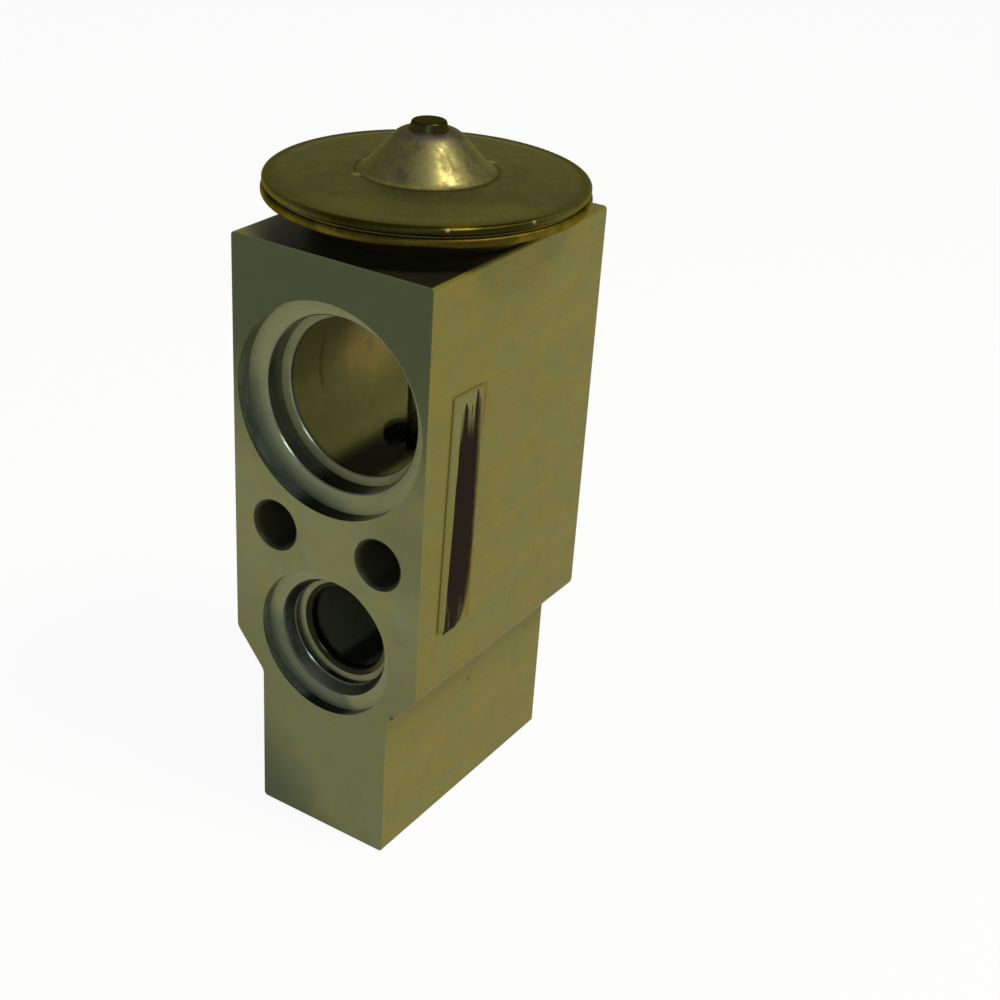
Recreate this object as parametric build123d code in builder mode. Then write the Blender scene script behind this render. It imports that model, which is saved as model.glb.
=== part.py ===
"""Block-type thermostatic expansion valve, in millimetres.

The origin is the centre of the foot's bottom face. +Z runs up the valve axis to the
diaphragm housing, and -Y points out of the evaporator side. Every turned or pressed
piece is a half section in (radius, height), revolved about the valve axis.
"""
import os
from math import sqrt

from build123d import *

# ---- Clearances ---------------------------------------------------------------------
running_clearance = 0.04     # radial gap of a piece that slides or turns in its bore
screwed_clearance = 0.03     # radial gap that stands for a made-up thread
seal_clearance = 0.03        # gap of a rubber ring to the piece it seals on
contact_gap = 0.02           # gap where two pieces of one assembly rest on each other
cut_overshoot = 2.0          # how far a cutting profile runs out past a face

# ---- Valve block --------------------------------------------------------------------
block_width = 28.0
block_depth = 36.7
foot_width = 19.5
foot_height = 20.0           # where the foot's upright sides end
shoulder_height = 25.2       # where the sloped shoulders reach the full width
shoulder_radius = 1.4
block_corner_radius = 0.5

# ---- Liquid outlet, on the evaporator side ------------------------------------------
outlet_height = 27.9
outlet_bore_radius = 5.66
outlet_bore_depth = 21.0
outlet_pilot_step = 1.51     # from the bore out to the pilot
outlet_seat_step = 0.83      # from the pilot out to the recess floor
outlet_ledge = 1.8           # width of the recess floor

# ---- Liquid inlet, on the line side -------------------------------------------------
inlet_bore_radius = 4.4
inlet_bore_roof = 1.5        # from the bore up to the chamber's top
inlet_pilot_step = 1.5
inlet_seat_step = 0.8
inlet_ledge = 1.5

# ---- Every port ---------------------------------------------------------------------
port_floor_slope = 0.2       # fall of a recess floor or a step towards the port's axis
port_edge_break = 0.15       # chamfer where a pilot or a bore begins

# ---- Both liquid ports --------------------------------------------------------------
liquid_recess_depth = 1.45
liquid_seat_slope = 1.8
liquid_pilot_depth = 4.3

# ---- Fastening holes ----------------------------------------------------------------
mounting_radius = 3.0
mounting_spacing = 15.5
mounting_chamfer = 0.35
mounting_web = 1.3           # wall between the holes' level and the outlet's recess
stud_radius = 2.5
stud_depth = 10.5
stud_drop = 5.2              # from the mounting holes down to the stud hole
stud_chamfer = 0.6
drill_tip_slope = 0.6        # height of a drill point over its radius

# ---- Suction passage ----------------------------------------------------------------
suction_bore_radius = 9.77
suction_pilot_step = 1.13
suction_seat_step = 1.1
suction_ledge = 1.35
suction_recess_depth = 2.0
suction_seat_slope = 0.2     # depth of the sloped seat over its width
suction_pilot_depth = 5.15
suction_web = 0.95           # wall between the mounting holes' level and the recess

# ---- Rod seal pocket, in the floor of the suction passage ----------------------------
pocket_radius = 4.2
pocket_depth = 3.93

# ---- Valve chamber and orifice ------------------------------------------------------
orifice_radius = 1.5
orifice_chamfer = 0.35
orifice_wall = 1.74          # from the outlet bore down to the chamber
chamber_radius = 6.2
screw_thread_radius = 7.0    # of the tapped mouth under the chamber
foot_mouth_chamfer = 0.8

# ---- Socket for the diaphragm housing ------------------------------------------------
socket_depth = 7.4
socket_throat_radius = 7.6
socket_throat_length = 1.43
neck_radius = 10.0
neck_end_gap = 0.5           # free room under the neck's end
neck_gland_depth = 1.5
neck_gland_width = 2.0

# ---- Diaphragm housing --------------------------------------------------------------
neck_wall = 1.8
housing_radius = 19.25
rim_gap = 2.9                # from the block's top up to the rim
rim_edge_radius = 0.45
cover_thickness = 1.0
lower_rim_thickness = 1.1
diaphragm_thickness = 0.2
diaphragm_radius = 18.75
convolution_start = 1.2      # from the pad's edge out to the ring-shaped fold
convolution_width = 2.0
convolution_depth = 0.5
upper_cover_radius = 19.1
pan_radius = 16.5            # where the rim steps up to the top
pan_step = 0.2
pan_joggle = 1.4             # width over which the rim steps up
pan_rise = 0.45              # how far the top climbs from there in to the dome
dish_floor_radius = 12.4
dish_foot_radius = 13.4
dish_shelf_radius = 16.4
dish_floor_thickness = 1.1
dish_floor_slope = 0.4       # fall of the dish from its foot in to its floor's edge
dish_foot_step = 0.6         # how far the foot's wall leans out
dome_base_radius = 8.0
dome_top_radius = 3.45
dome_height = 5.15
dome_base_fillet = 1.65
dome_top_fillet = 1.9

# ---- Charge plug --------------------------------------------------------------------
plug_head_radius = 2.3
plug_top_radius = 2.0
plug_head_height = 1.0
plug_edge_radius = 0.3
plug_pin_radius = 0.9
plug_pin_length = 2.0

# ---- Valve train --------------------------------------------------------------------
rod_radius = 1.25
rod_tip_radius = 0.8
rod_tip_length = 3.2
rod_end_chamfer = 0.2
ball_lift = 0.1              # gap between ball and seat at rest
pad_radius = 11.6
pad_thickness = 1.8
pad_boss_radius = 3.4
pad_boss_length = 5.0
pad_socket_depth = 4.0
pad_edge_radius = 0.4
holder_flange_radius = 5.3
holder_flange_thickness = 1.4
holder_cup_radius = 2.9
holder_cup_height = 1.3      # how far the cup stands over the flange
holder_pilot_radius = 2.9
holder_pilot_length = 1.8
holder_pilot_chamfer = 0.4
holder_lip = 0.5             # flat ring round the cup's mouth

# ---- Rod seal -----------------------------------------------------------------------
backup_thickness = 0.5
packing_height = 1.9
packing_groove_depth = 0.9
packing_groove_width = 1.0
retainer_thickness = 0.5
retainer_hole_radius = 2.2

# ---- Superheat spring and its adjustment ---------------------------------------------
screw_travel = 0.75          # how far the screw moves in or out from rest
screw_stop_gap = 0.15        # left between screw and step at full travel
screw_recess = 1.3           # how far the screw stands inside the foot
screw_thread_length = 3.3
screw_length = 7.6
screw_chamfer = 0.4
screw_groove_depth = 1.16
screw_groove_width = 1.8
screw_groove_height = 5.8    # middle of the groove over the screw's lower end
hex_width = 6.0              # across the flats
hex_depth = 4.0
seat_plate_radius = 5.6
seat_plate_thickness = 0.8
seat_hub_radius = 3.0
seat_hub_height = 0.9
spring_wire_radius = 0.5
spring_radius = 4.0
spring_pitch = 1.7

# ---- Adhesive label on the block's +X side --------------------------------------------
label_width = 6.3
label_length = 30.8
label_thickness = 0.12
label_corner_radius = 0.3
label_height = 48.1          # of its middle
label_offset = -10.8         # of its middle, towards the line side
label_tilt = 1.9             # degrees, leaning towards the line side at its top


def half_section(*points):
    """Closed face in the XZ plane through the given (radius, height) points."""
    with BuildSketch(Plane.XZ) as section:
        with BuildLine():
            Polyline(*points, close=True)
        make_face()
    return section.sketch


def port_section(mouth, seat, pilot, bore, recess_depth, seat_slope, pilot_depth, bore_depth):
    """Half section of a stepped port as (radius, depth): recess, sloped seat, pilot and bore."""
    floor_depth = recess_depth + (mouth - seat) * port_floor_slope
    seat_depth = floor_depth + (seat - pilot) * seat_slope
    step_depth = pilot_depth + (pilot - bore) * port_floor_slope
    return [
        (0, -cut_overshoot),
        (mouth, -cut_overshoot),
        (mouth, recess_depth),
        (seat, floor_depth),
        (pilot + port_edge_break, seat_depth),
        (pilot, seat_depth + port_edge_break),
        (pilot, pilot_depth),
        (bore + port_edge_break, step_depth),
        (bore, step_depth + port_edge_break),
        (bore, bore_depth),
        (0, bore_depth + bore * drill_tip_slope),
    ]


def port_plane(side, height):
    """Plane with its origin on the face at y = side * depth / 2 and its Y axis pointing into the block."""
    return Plane(origin=(0, side * block_depth / 2, height), x_dir=(-side, 0, 0), z_dir=(0, 0, 1))


def cut_port(side, height, points):
    """Cuts a turned port into the block that is being built."""
    plane = port_plane(side, height)
    with BuildSketch(plane) as section:
        with BuildLine():
            Polyline(*points, close=True)
        make_face()
    revolve(section.sketch, axis=Axis(plane.origin, plane.y_dir), mode=Mode.SUBTRACT)


# ---- Sizes and levels worked out from the ones above -----------------------------------
outlet_pilot_radius = outlet_bore_radius + outlet_pilot_step
outlet_seat_radius = outlet_pilot_radius + outlet_seat_step
outlet_mouth_radius = outlet_seat_radius + outlet_ledge
inlet_pilot_radius = inlet_bore_radius + inlet_pilot_step
inlet_seat_radius = inlet_pilot_radius + inlet_seat_step
inlet_mouth_radius = inlet_seat_radius + inlet_ledge
suction_pilot_radius = suction_bore_radius + suction_pilot_step
suction_seat_radius = suction_pilot_radius + suction_seat_step
suction_mouth_radius = suction_seat_radius + suction_ledge

mounting_height = outlet_height + outlet_mouth_radius + mounting_web + mounting_radius
suction_height = mounting_height + mounting_radius + suction_web + suction_mouth_radius
suction_floor = suction_height - suction_bore_radius
pocket_floor = suction_floor - pocket_depth
socket_floor = suction_height + suction_bore_radius + socket_throat_length
block_height = socket_floor + socket_depth
chamber_top = outlet_height - outlet_bore_radius - orifice_wall
inlet_height = chamber_top - inlet_bore_roof - inlet_bore_radius
stud_height = mounting_height - stud_drop
thread_step_height = screw_recess + screw_thread_length + screw_travel + screw_stop_gap

guide_radius = rod_radius + running_clearance
neck_bottom = socket_floor + neck_end_gap
neck_bore_radius = neck_radius - neck_wall
rim_bottom = block_height + rim_gap
lower_rim_top = rim_bottom + lower_rim_thickness
upper_rim_bottom = lower_rim_top + diaphragm_thickness
upper_rim_top = upper_rim_bottom + cover_thickness
pan_top = upper_rim_top + pan_step
dome_top = pan_top + dome_height
dish_floor = block_height + dish_floor_thickness

# The ball rests on the middle of the 45 degree seat, which sets its size and its height.
ball_radius = (orifice_radius + orifice_chamfer / 2) * sqrt(2)
ball_seated_height = chamber_top + orifice_radius + orifice_chamfer - ball_radius * sqrt(2)
ball_height = ball_seated_height - ball_lift
ball_top = ball_height + ball_radius
pad_top = lower_rim_top - contact_gap
pad_bottom = pad_top - pad_thickness

# ---- Valve block --------------------------------------------------------------------
with BuildPart() as valve_body:
    with BuildSketch(Plane.XZ):
        with BuildLine():
            FilletPolyline(
                (0, 0),
                (foot_width / 2, 0),
                (foot_width / 2, foot_height),
                (block_width / 2, shoulder_height),
                (block_width / 2, block_height),
                (0, block_height),
                radius=[block_corner_radius, shoulder_radius, shoulder_radius, block_corner_radius],
            )
            mirror(about=Plane.YZ)
        make_face()
    extrude(amount=block_depth / 2, both=True)

    # Suction passage, straight through, with the same stepped mouth on both faces.
    suction_points = port_section(
        suction_mouth_radius, suction_seat_radius, suction_pilot_radius, suction_bore_radius,
        suction_recess_depth, suction_seat_slope, suction_pilot_depth, block_depth / 2,
    )
    cut_port(-1, suction_height, suction_points)
    cut_port(1, suction_height, suction_points)

    # Outlet to the evaporator, which crosses the valve axis, and the inlet to the chamber.
    cut_port(-1, outlet_height, port_section(
        outlet_mouth_radius, outlet_seat_radius, outlet_pilot_radius, outlet_bore_radius,
        liquid_recess_depth, liquid_seat_slope, liquid_pilot_depth, outlet_bore_depth,
    ))
    cut_port(1, inlet_height, port_section(
        inlet_mouth_radius, inlet_seat_radius, inlet_pilot_radius, inlet_bore_radius,
        liquid_recess_depth, liquid_seat_slope, liquid_pilot_depth, block_depth / 2 - chamber_radius / 2,
    ))

    # Two plain holes right through the block, and the blind tapped hole for the line stud.
    with BuildSketch(Plane.XZ):
        with Locations((0, mounting_height)):
            with GridLocations(mounting_spacing, 0, 2, 1):
                Circle(mounting_radius)
    extrude(amount=block_depth / 2, both=True, mode=Mode.SUBTRACT)
    mounting_edges = valve_body.edges().filter_by(GeomType.CIRCLE).filter_by_position(
        Axis.Z, mounting_height - contact_gap, mounting_height + contact_gap
    )
    chamfer(mounting_edges.filter_by(lambda edge: abs(edge.radius - mounting_radius) < contact_gap), mounting_chamfer)
    cut_port(1, stud_height, [
        (0, -cut_overshoot),
        (stud_radius + stud_chamfer, -cut_overshoot),
        (stud_radius + stud_chamfer, 0),
        (stud_radius, stud_chamfer),
        (stud_radius, stud_depth),
        (0, stud_depth + stud_radius * drill_tip_slope),
    ])

    # Socket for the diaphragm housing: O-ring gland, thread and the throat to the passage.
    revolve(half_section(
        (0, suction_height),
        (socket_throat_radius, suction_height),
        (socket_throat_radius, socket_floor),
        (neck_radius, socket_floor),
        (neck_radius, block_height - neck_gland_depth),
        (neck_radius + neck_gland_width, block_height - neck_gland_depth),
        (neck_radius + neck_gland_width, block_height + cut_overshoot),
        (0, block_height + cut_overshoot),
    ), axis=Axis.Z, mode=Mode.SUBTRACT)

    # Seal pocket, rod guide, orifice with its chamfered seat, chamber and tapped foot.
    revolve(half_section(
        (0, -cut_overshoot),
        (screw_thread_radius + foot_mouth_chamfer, -cut_overshoot),
        (screw_thread_radius + foot_mouth_chamfer, 0),
        (screw_thread_radius, foot_mouth_chamfer),
        (screw_thread_radius, thread_step_height),
        (chamber_radius, thread_step_height),
        (chamber_radius, chamber_top),
        (orifice_radius + orifice_chamfer, chamber_top),
        (orifice_radius, chamber_top + orifice_chamfer),
        (orifice_radius, outlet_height),
        (guide_radius, outlet_height),
        (guide_radius, pocket_floor),
        (pocket_radius, pocket_floor),
        (pocket_radius, suction_height),
        (0, suction_height),
    ), axis=Axis.Z, mode=Mode.SUBTRACT)

# ---- Diaphragm housing --------------------------------------------------------------
# The upper cover is one sheet: rim, low cone and dome, drawn along its middle surface.
rim_middle = upper_rim_bottom + cover_thickness / 2
pan_middle = rim_middle + pan_step
dome_middle = pan_middle + dome_height
half_sheet = cover_thickness / 2
with BuildPart() as upper_cover:
    with BuildSketch(Plane.XZ):
        with BuildLine() as sheet_line:
            FilletPolyline(
                (plug_pin_radius + contact_gap, dome_middle),
                (dome_top_radius - half_sheet / 2, dome_middle),
                (dome_base_radius - half_sheet, pan_middle + pan_rise),
                (pan_radius, pan_middle),
                (pan_radius + pan_joggle, rim_middle),
                (upper_cover_radius, rim_middle),
                radius=[dome_top_fillet, dome_base_fillet, cover_thickness, cover_thickness],
            )
        trace(sheet_line.line, line_width=cover_thickness)
    revolve(axis=Axis.Z)
    outer_edges = upper_cover.edges().filter_by(GeomType.CIRCLE).filter_by(
        lambda edge: abs(edge.radius - upper_cover_radius) < contact_gap
    )
    fillet(outer_edges, rim_edge_radius)

with BuildPart() as diaphragm:
    diaphragm_middle = lower_rim_top + diaphragm_thickness / 2
    fold_start = pad_radius + convolution_start
    with BuildSketch(Plane.XZ):
        with BuildLine() as membrane_line:
            FilletPolyline(
                (0, diaphragm_middle),
                (fold_start, diaphragm_middle),
                (fold_start + convolution_width / 2, diaphragm_middle - convolution_depth),
                (fold_start + convolution_width, diaphragm_middle),
                (diaphragm_radius, diaphragm_middle),
                radius=convolution_depth,
            )
        trace(membrane_line.line, line_width=diaphragm_thickness)
    revolve(axis=Axis.Z)

with BuildPart() as lower_cover:
    revolve(half_section(
        (housing_radius, rim_bottom),
        (housing_radius, lower_rim_top),
        (dish_shelf_radius, lower_rim_top),
        (dish_foot_radius, rim_bottom),
        (dish_floor_radius, rim_bottom - dish_floor_slope),
        (dish_floor_radius, dish_floor),
        (neck_bore_radius, dish_floor),
        (neck_bore_radius, neck_bottom),
        (neck_radius - screwed_clearance, neck_bottom),
        (neck_radius - screwed_clearance, block_height),
        (dish_foot_radius, block_height),
        (dish_foot_radius + dish_foot_step, dish_floor),
        (dish_shelf_radius, rim_bottom),
    ), axis=Axis.Z)
    rim_edges = lower_cover.edges().filter_by(GeomType.CIRCLE).filter_by(
        lambda edge: abs(edge.radius - housing_radius) < contact_gap
    )
    fillet(rim_edges, rim_edge_radius)

with BuildPart() as charge_plug:
    with BuildSketch(Plane.XZ) as plug_section:
        with BuildLine():
            Polyline(
                (0, dome_top - plug_pin_length),
                (plug_pin_radius, dome_top - plug_pin_length),
                (plug_pin_radius, dome_top),
                (plug_head_radius, dome_top),
                (plug_top_radius, dome_top + plug_head_height),
                (0, dome_top + plug_head_height),
                close=True,
            )
        make_face()
        fillet(plug_section.vertices().group_by(Axis.Y)[-1].sort_by(Axis.X)[-1], plug_edge_radius)
    revolve(axis=Axis.Z)

with BuildPart() as element_seal_ring:
    neck_ring_section = neck_gland_depth / 2 - contact_gap
    ring_centre = neck_radius + neck_gland_width / 2
    with BuildSketch(Plane.XZ):
        with Locations((ring_centre, block_height - neck_gland_depth / 2)):
            Circle(neck_ring_section)
    revolve(axis=Axis.Z)

# ---- Valve train --------------------------------------------------------------------
with BuildPart() as pressure_pad:
    socket_radius = rod_radius + contact_gap
    with BuildSketch(Plane.XZ) as pad_section:
        with BuildLine():
            Polyline(
                (0, pad_top),
                (pad_radius, pad_top),
                (pad_radius, pad_bottom),
                (pad_boss_radius, pad_bottom),
                (pad_boss_radius, pad_bottom - pad_boss_length),
                (socket_radius, pad_bottom - pad_boss_length),
                (socket_radius, pad_bottom - pad_boss_length + pad_socket_depth),
                (0, pad_bottom - pad_boss_length + pad_socket_depth),
                close=True,
            )
        make_face()
        fillet(pad_section.vertices().sort_by(Axis.X)[-2:], pad_edge_radius)
    revolve(axis=Axis.Z)

with BuildPart() as push_rod:
    rod_top = pad_bottom - pad_boss_length + pad_socket_depth - contact_gap
    rod_bottom = ball_top + contact_gap
    revolve(half_section(
        (0, rod_bottom),
        (rod_tip_radius, rod_bottom),
        (rod_tip_radius, rod_bottom + rod_tip_length),
        (rod_radius, rod_bottom + rod_tip_length + (rod_radius - rod_tip_radius)),
        (rod_radius, rod_top - rod_end_chamfer),
        (rod_radius - rod_end_chamfer, rod_top),
        (0, rod_top),
    ), axis=Axis.Z)

with BuildPart() as valve_ball:
    with Locations((0, 0, ball_height)):
        Sphere(ball_radius)

with BuildPart() as ball_holder:
    # The cup's cone touches the ball at 45 degrees, so its mouth is set by the ball.
    cone_offset = (ball_radius + contact_gap) * sqrt(2)
    cone_tip = ball_height - cone_offset
    cup_top = cone_tip + holder_cup_radius - holder_lip
    flange_top = cup_top - holder_cup_height
    flange_bottom = flange_top - holder_flange_thickness
    revolve(half_section(
        (0, flange_bottom - holder_pilot_length),
        (holder_pilot_radius - holder_pilot_chamfer, flange_bottom - holder_pilot_length),
        (holder_pilot_radius, flange_bottom - holder_pilot_length + holder_pilot_chamfer),
        (holder_pilot_radius, flange_bottom),
        (holder_flange_radius, flange_bottom),
        (holder_flange_radius, flange_top),
        (holder_cup_radius, flange_top),
        (holder_cup_radius, cup_top),
        (cup_top - cone_tip, cup_top),
        (0, cone_tip),
    ), axis=Axis.Z)

# ---- Rod seal -----------------------------------------------------------------------
backup_top = pocket_floor + backup_thickness
packing_top = backup_top + packing_height
with BuildPart() as seal_backup_washer:
    revolve(half_section(
        (guide_radius, pocket_floor),
        (pocket_radius - seal_clearance, pocket_floor),
        (pocket_radius - seal_clearance, backup_top),
        (guide_radius, backup_top),
    ), axis=Axis.Z)

with BuildPart() as rod_seal:
    groove_middle = (rod_radius + pocket_radius) / 2
    revolve(half_section(
        (guide_radius, backup_top),
        (pocket_radius - seal_clearance, backup_top),
        (pocket_radius - seal_clearance, packing_top),
        (groove_middle + packing_groove_width / 2, packing_top),
        (groove_middle, packing_top - packing_groove_depth),
        (groove_middle - packing_groove_width / 2, packing_top),
        (guide_radius, packing_top),
    ), axis=Axis.Z)

with BuildPart() as seal_retainer:
    revolve(half_section(
        (retainer_hole_radius, packing_top),
        (pocket_radius - contact_gap, packing_top),
        (pocket_radius - contact_gap, packing_top + retainer_thickness),
        (retainer_hole_radius, packing_top + retainer_thickness),
    ), axis=Axis.Z)

# ---- Superheat spring and its adjustment ---------------------------------------------
screw_top = screw_recess + screw_length
with BuildPart() as adjusting_screw:
    thread_radius = screw_thread_radius - running_clearance
    piston_radius = chamber_radius - running_clearance
    groove_radius = piston_radius - screw_groove_depth
    groove_bottom = screw_recess + screw_groove_height - screw_groove_width / 2
    revolve(half_section(
        (0, screw_recess),
        (thread_radius - screw_chamfer, screw_recess),
        (thread_radius, screw_recess + screw_chamfer),
        (thread_radius, screw_recess + screw_thread_length),
        (piston_radius, screw_recess + screw_thread_length),
        (piston_radius, groove_bottom),
        (groove_radius, groove_bottom),
        (groove_radius, groove_bottom + screw_groove_width),
        (piston_radius, groove_bottom + screw_groove_width),
        (piston_radius, screw_top),
        (0, screw_top),
    ), axis=Axis.Z)
    with BuildSketch(Plane.XY.offset(screw_recess)):
        RegularPolygon(hex_width / 2, 6, major_radius=False)
    extrude(amount=hex_depth, mode=Mode.SUBTRACT)

with BuildPart() as adjuster_seal_ring:
    screw_ring_section = (chamber_radius - groove_radius) / 2 - seal_clearance
    ring_middle = (chamber_radius + groove_radius) / 2
    with BuildSketch(Plane.XZ):
        with Locations((ring_middle, screw_recess + screw_groove_height)):
            Circle(screw_ring_section)
    revolve(axis=Axis.Z)

seat_bottom = screw_top + contact_gap
seat_top = seat_bottom + seat_plate_thickness
with BuildPart() as spring_seat:
    revolve(half_section(
        (0, seat_bottom),
        (seat_plate_radius, seat_bottom),
        (seat_plate_radius, seat_top),
        (seat_hub_radius, seat_top),
        (seat_hub_radius, seat_top + seat_hub_height),
        (0, seat_top + seat_hub_height),
    ), axis=Axis.Z)

with BuildPart() as superheat_spring:
    spring_bottom = seat_top + contact_gap
    spring_length = flange_bottom - contact_gap - spring_bottom
    coil_height = spring_length - 2 * spring_wire_radius
    with BuildLine() as coil:
        Helix(pitch=spring_pitch, height=coil_height, radius=spring_radius,
              center=(0, 0, spring_bottom + spring_wire_radius))
    with BuildSketch(Plane(origin=coil.line @ 0, z_dir=coil.line % 0)):
        Circle(spring_wire_radius)
    sweep()

# ---- Adhesive label -------------------------------------------------------------------
with BuildPart() as label:
    label_plane = Plane(origin=(block_width / 2 + contact_gap, label_offset, label_height), x_dir=(0, 1, 0), z_dir=(1, 0, 0))
    with BuildSketch(label_plane):
        with Locations(Rotation(0, 0, -label_tilt)):
            RectangleRounded(label_width, label_length, label_corner_radius)
    extrude(amount=label_thickness)

# ---- Output -------------------------------------------------------------------------
pieces = {
    "valve_body": valve_body,
    "upper_cover": upper_cover,
    "diaphragm": diaphragm,
    "lower_cover": lower_cover,
    "charge_plug": charge_plug,
    "element_seal_ring": element_seal_ring,
    "pressure_pad": pressure_pad,
    "push_rod": push_rod,
    "valve_ball": valve_ball,
    "ball_holder": ball_holder,
    "seal_backup_washer": seal_backup_washer,
    "rod_seal": rod_seal,
    "seal_retainer": seal_retainer,
    "adjusting_screw": adjusting_screw,
    "adjuster_seal_ring": adjuster_seal_ring,
    "spring_seat": spring_seat,
    "superheat_spring": superheat_spring,
    "label": label,
}
os.makedirs("parts", exist_ok=True)
for name, piece in pieces.items():
    piece.part.label = name
    export_step(piece.part, f"parts/{name}.step")
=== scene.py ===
"""Looks of a block-type thermostatic expansion valve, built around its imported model."""
import math

import bmesh
import bpy
from mathutils import Matrix, Vector


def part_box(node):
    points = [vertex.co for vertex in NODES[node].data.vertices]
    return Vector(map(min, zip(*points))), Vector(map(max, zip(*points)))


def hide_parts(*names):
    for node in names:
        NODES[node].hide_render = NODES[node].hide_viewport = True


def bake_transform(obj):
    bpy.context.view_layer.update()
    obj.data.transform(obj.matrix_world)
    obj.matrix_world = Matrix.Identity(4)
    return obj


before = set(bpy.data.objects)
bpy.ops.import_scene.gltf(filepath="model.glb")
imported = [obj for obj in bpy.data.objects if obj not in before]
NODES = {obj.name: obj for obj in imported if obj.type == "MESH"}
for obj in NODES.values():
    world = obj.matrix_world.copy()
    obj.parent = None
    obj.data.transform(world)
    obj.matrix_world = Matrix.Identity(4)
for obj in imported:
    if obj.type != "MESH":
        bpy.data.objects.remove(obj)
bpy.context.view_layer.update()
MM = 0.001


def point(x, y, z):
    """Place on the valve, given in millimetres."""
    return Vector((x, y, z)) * MM


# ---- Places on the valve that the finishes follow, in metres -----------------------------
SUCTION_HEIGHT, SUCTION_MOUTH = 59.3 * MM, 13.35 * MM
OUTLET_HEIGHT, OUTLET_MOUTH = 27.9 * MM, 9.8 * MM
INLET_HEIGHT, INLET_MOUTH = 14.6 * MM, 8.2 * MM
MOUNTING_HEIGHT, MOUNTING_OFFSET = 42.0 * MM, 7.75 * MM
HALF_WIDTH, HALF_DEPTH = 14.0 * MM, 18.35 * MM
SHOULDER_HEIGHT, BLOCK_HEIGHT = 25.2 * MM, 77.9 * MM
DOME_FOOT = 8.2 * MM
FRONT_CORNER = (0.56, 0.83)
LABEL_MIDDLE = (-10.8 * MM, 48.1 * MM)
LABEL_HALF_WIDTH, LABEL_HALF_HEIGHT = 3.15 * MM, 15.4 * MM
LABEL_TILT = math.radians(1.9)

# ---- Marks of making and use, and the place of a painted highlight ------------------------
BORE_ORANGE_PATCH = point(-9.8, 2.4, 58.7)
SMUDGE = point(11.5, -18.35, 45.0)
NICKS = (point(10.6, -18.3, 21.3), point(10.2, -18.3, 14.9), point(9.6, 0.2, 17.1))
RIM_HIGHLIGHT_SPOT = point(13.36, -12.94, 83.10)
FOOT_MARKS = (point(-4.8, -6.9, 83.75), point(3.9, 7.4, 83.75))
WELD_SPOTS = (point(12.70, -14.30, 82.95), point(18.20, -5.75, 82.95))
HEAT_STAINS = ((point(-1.2, -6.5, 85.0), 2.0 * MM), (point(1.2, -6.3, 85.2), 1.8 * MM))

# Marker stroke on the label: its foot and top, and its right edge as
# (share of the way up, y) points between two heights.
STROKE_FOOT, STROKE_TOP = 32.1 * MM, 61.6 * MM
STROKE_EDGE_FROM, STROKE_EDGE_TO = 31.2 * MM, 65.0 * MM
STROKE_RIGHT_EDGE = [
    (0.00, -11.1 * MM), (0.04, -9.9 * MM), (0.10, -8.7 * MM), (0.17, -8.15 * MM),
    (0.28, -7.75 * MM), (0.45, -7.65 * MM), (0.62, -7.60 * MM), (0.75, -7.60 * MM),
    (1.00, -8.05 * MM),
]

# ---- Colours, linear ----------------------------------------------------------------------
SIDE_OLIVE, SIDE_SAND = (0.181, 0.170, 0.040, 1), (0.204, 0.172, 0.029, 1)
END_SAGE_COOL_LIT, END_STRAW_COOL_LIT = (0.188, 0.204, 0.092, 1), (0.209, 0.204, 0.078, 1)
# Painted shade on the block's ends, also the colour of one smudge
SHADE_AND_SMUDGE_OLIVE = (0.060, 0.073, 0.034, 1)
SHOULDER_WARM = (0.180, 0.145, 0.018, 1)
UNDERSIDE_WARM = (0.175, 0.130, 0.018, 1)
COVER_SHADE = (0.014, 0.015, 0.011, 1)
BRIGHT_EDGE = (0.320, 0.290, 0.110, 1)
DIRT_BROWN = (0.070, 0.062, 0.022, 1)
NICK_DARK = (0.045, 0.040, 0.018, 1)
HOLE_RIM_SHADE, HOLE_SHADE = (0.026, 0.030, 0.021, 1), (0.050, 0.048, 0.034, 1)
POCKET_SHADE = (0.020, 0.020, 0.012, 1)
SEAT_WALL, SEAT_FACE = (0.150, 0.160, 0.115, 1), (0.205, 0.212, 0.105, 1)
SEAT_RING_SHADE, STEP_SHADE = (0.040, 0.038, 0.022, 1), (0.004, 0.005, 0.003, 1)
SEAT_SHADED, SEAT_COOL_REFLECTION = (0.120, 0.118, 0.046, 1), (0.070, 0.090, 0.075, 1)
COOL_HIGHLIGHT = (0.330, 0.400, 0.360, 1)
OUTLET_BORE_SHADED, SUCTION_BORE_LIT = (0.130, 0.136, 0.086, 1), (0.285, 0.262, 0.080, 1)
BORE_PAINTED_LIGHT, BORE_PAINTED_SHADE = (0.520, 0.480, 0.130, 1), (0.180, 0.168, 0.040, 1)
ORANGE_PATCH = (0.560, 0.380, 0.090, 1)

COVER_OLIVE, COVER_BROWN = (0.136, 0.139, 0.062, 1), (0.172, 0.160, 0.060, 1)
COVER_LIT = (0.215, 0.200, 0.068, 1)
COVER_GLANCE = (0.62, 0.60, 0.36, 1)
DOME_STEEL, DOME_SHADED = (0.198, 0.186, 0.078, 1), (0.110, 0.105, 0.036, 1)
FOOT_HIGHLIGHT, FOOT_CREASE_SHADE = (0.360, 0.300, 0.100, 1), (0.070, 0.062, 0.024, 1)
AMBER_DARK, AMBER_BRIGHT = (0.060, 0.043, 0.005, 1), (0.165, 0.122, 0.014, 1)
AMBER_SHADE = (0.034, 0.023, 0.002, 1)
RIM_EDGE_BROWN, RIM_DARK_REFLECTION = (0.086, 0.066, 0.014, 1), (0.020, 0.017, 0.003, 1)
RIM_HIGHLIGHT_GOLD = (0.200, 0.150, 0.022, 1)
BLUED = (0.130, 0.100, 0.150, 1)
STAIN_GREY, STAIN_BROWN = (0.080, 0.075, 0.085, 1), (0.040, 0.034, 0.012, 1)
FOOT_MARK_PALE, WELD_PALE = (0.420, 0.370, 0.160, 1), (0.420, 0.370, 0.200, 1)

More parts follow.
